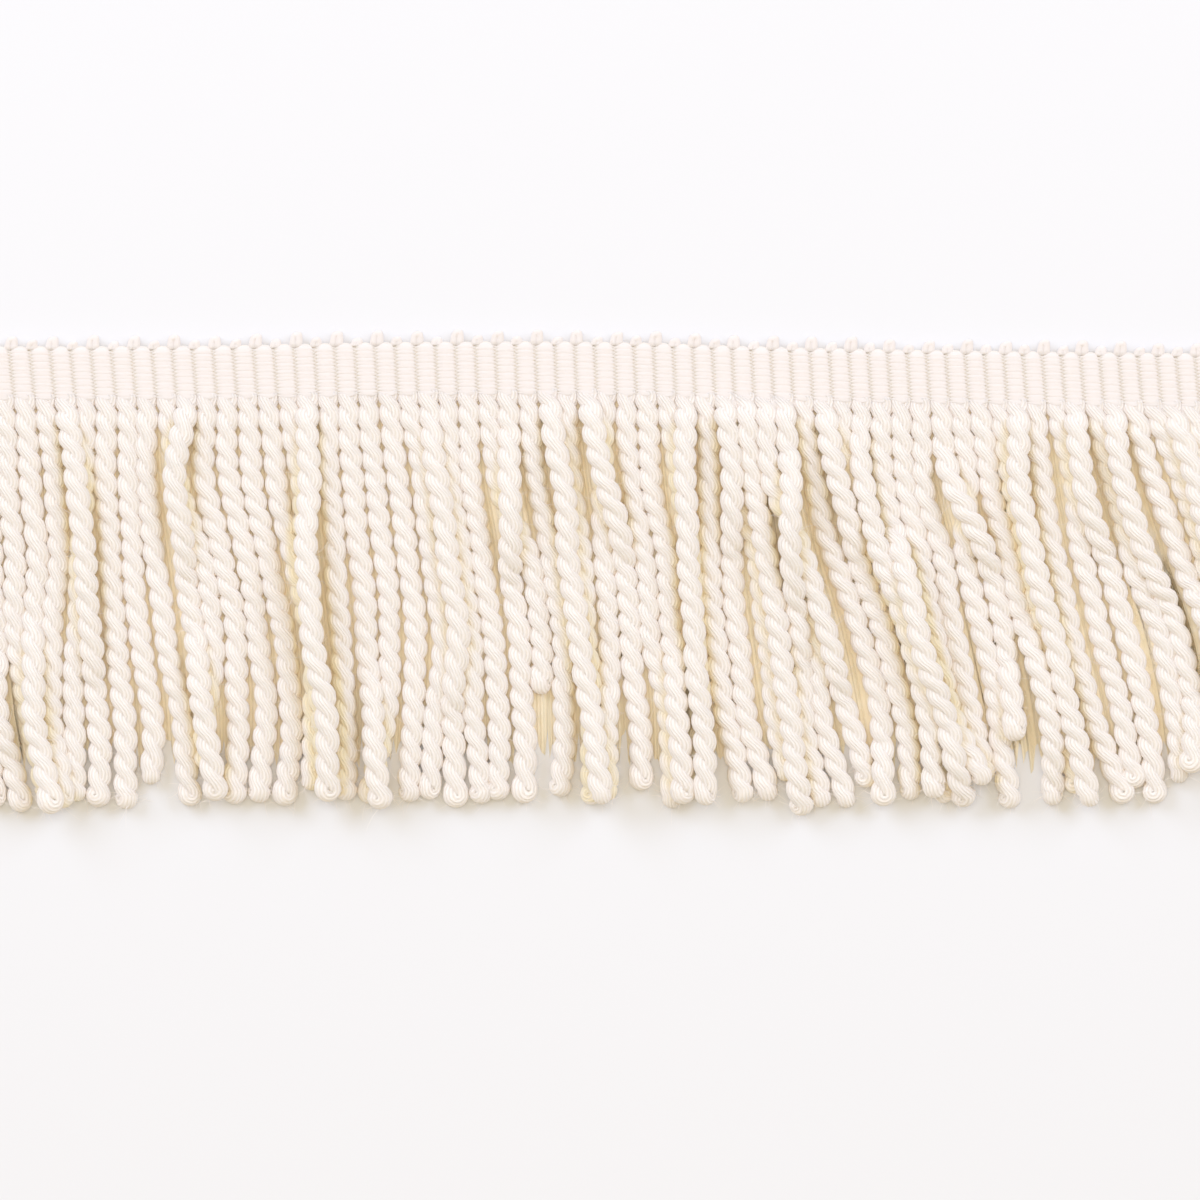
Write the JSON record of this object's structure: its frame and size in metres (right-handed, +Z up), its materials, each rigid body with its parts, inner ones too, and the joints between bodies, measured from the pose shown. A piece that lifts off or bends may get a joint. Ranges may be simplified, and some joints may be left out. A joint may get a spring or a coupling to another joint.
{
  "type": "bullion fringe",
  "caption": "Cut length of bullion fringe lying flat: a ribbed woven heading edged with small loops, and a skirt of thick twisted cords hanging from it.",
  "frame": {"origin": "on the heading's flat underside, on its middle line, at the place along the fringe that the view is centred on", "axes": "+X along the fringe, +Y across the heading towards its small loops, the cords run towards -Y, +Z up out of the fringe's face"},
  "size_m": [0.2236, 0.0772, 0.0098],
  "materials": {
    "heading_yarn": "matte woven cream yarn with raised ribs",
    "cord_yarn": "matte cream yarn twisted into soft cords"
  },
  "bodies": {
    "root": {"heading": "heading_yarn", "cord_skirt": "cord_yarn"}
  },
  "joints": []
}
